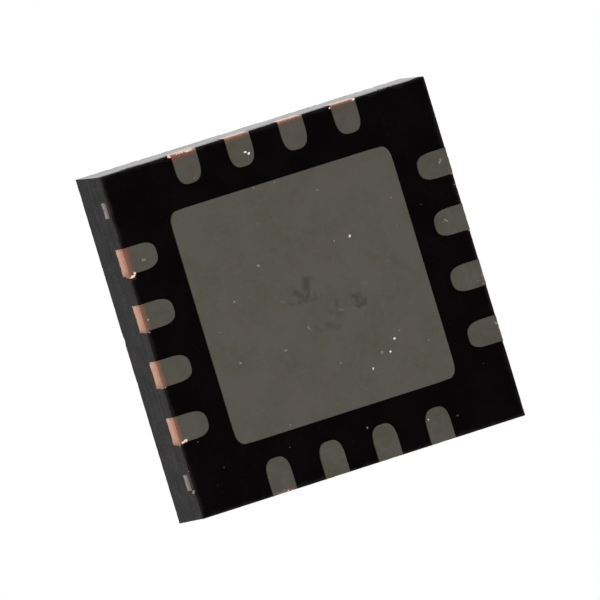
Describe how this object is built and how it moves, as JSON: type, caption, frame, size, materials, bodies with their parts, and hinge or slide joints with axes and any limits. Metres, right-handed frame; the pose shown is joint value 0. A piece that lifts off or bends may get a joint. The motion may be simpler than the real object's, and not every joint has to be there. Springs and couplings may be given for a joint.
{
  "type": "power converter chip",
  "caption": "Flat square no-lead chip package with rounded lands along its four sides, a large exposed thermal pad, and the die and bond wires sealed inside.",
  "frame": {"origin": "middle of the package's square on the seating plane, under the lands and the exposed pad", "axes": "+Z from the lands to the marking face; -X side holds leads 1 to 4, lead 1 nearest +Y, and the leads count on anticlockwise seen from above"},
  "size_m": [0.004, 0.004, 0.0009],
  "materials": {
    "mould_compound": "matt black epoxy moulding compound, sawn at the sides",
    "plated_copper": "copper with dull grey tin plating underneath, bare at the sawn ends",
    "silver_adhesive": "cured silver-filled epoxy, matt",
    "silicon": "polished silicon under a passivation film",
    "wire_gold": "bright drawn gold wire"
  },
  "bodies": {
    "root": {"mould_body": "mould_compound", "die_pad": "plated_copper", "die_attach": "silver_adhesive", "die": "silicon", "lead_01": "plated_copper", "lead_02": "plated_copper", "lead_03": "plated_copper", "lead_04": "plated_copper", "lead_05": "plated_copper", "lead_06": "plated_copper", "lead_07": "plated_copper", "lead_08": "plated_copper", "lead_09": "plated_copper", "lead_10": "plated_copper", "lead_11": "plated_copper", "lead_12": "plated_copper", "lead_13": "plated_copper", "lead_14": "plated_copper", "lead_15": "plated_copper", "lead_16": "plated_copper", "bond_wire_01": "wire_gold", "bond_wire_02": "wire_gold", "bond_wire_03": "wire_gold", "bond_wire_04": "wire_gold", "bond_wire_05": "wire_gold", "bond_wire_06": "wire_gold", "bond_wire_07": "wire_gold", "bond_wire_08": "wire_gold", "bond_wire_09": "wire_gold", "bond_wire_10": "wire_gold", "bond_wire_11": "wire_gold", "bond_wire_12": "wire_gold", "bond_wire_13": "wire_gold", "bond_wire_14": "wire_gold", "bond_wire_15": "wire_gold", "bond_wire_16": "wire_gold", "bond_wire_17": "wire_gold", "bond_wire_18": "wire_gold", "bond_wire_19": "wire_gold", "bond_wire_20": "wire_gold", "bond_wire_21": "wire_gold", "bond_wire_22": "wire_gold", "bond_wire_23": "wire_gold", "bond_wire_24": "wire_gold", "ground_wire_1": "wire_gold", "ground_wire_2": "wire_gold", "ground_wire_3": "wire_gold", "ground_wire_4": "wire_gold"}
  },
  "joints": []
}
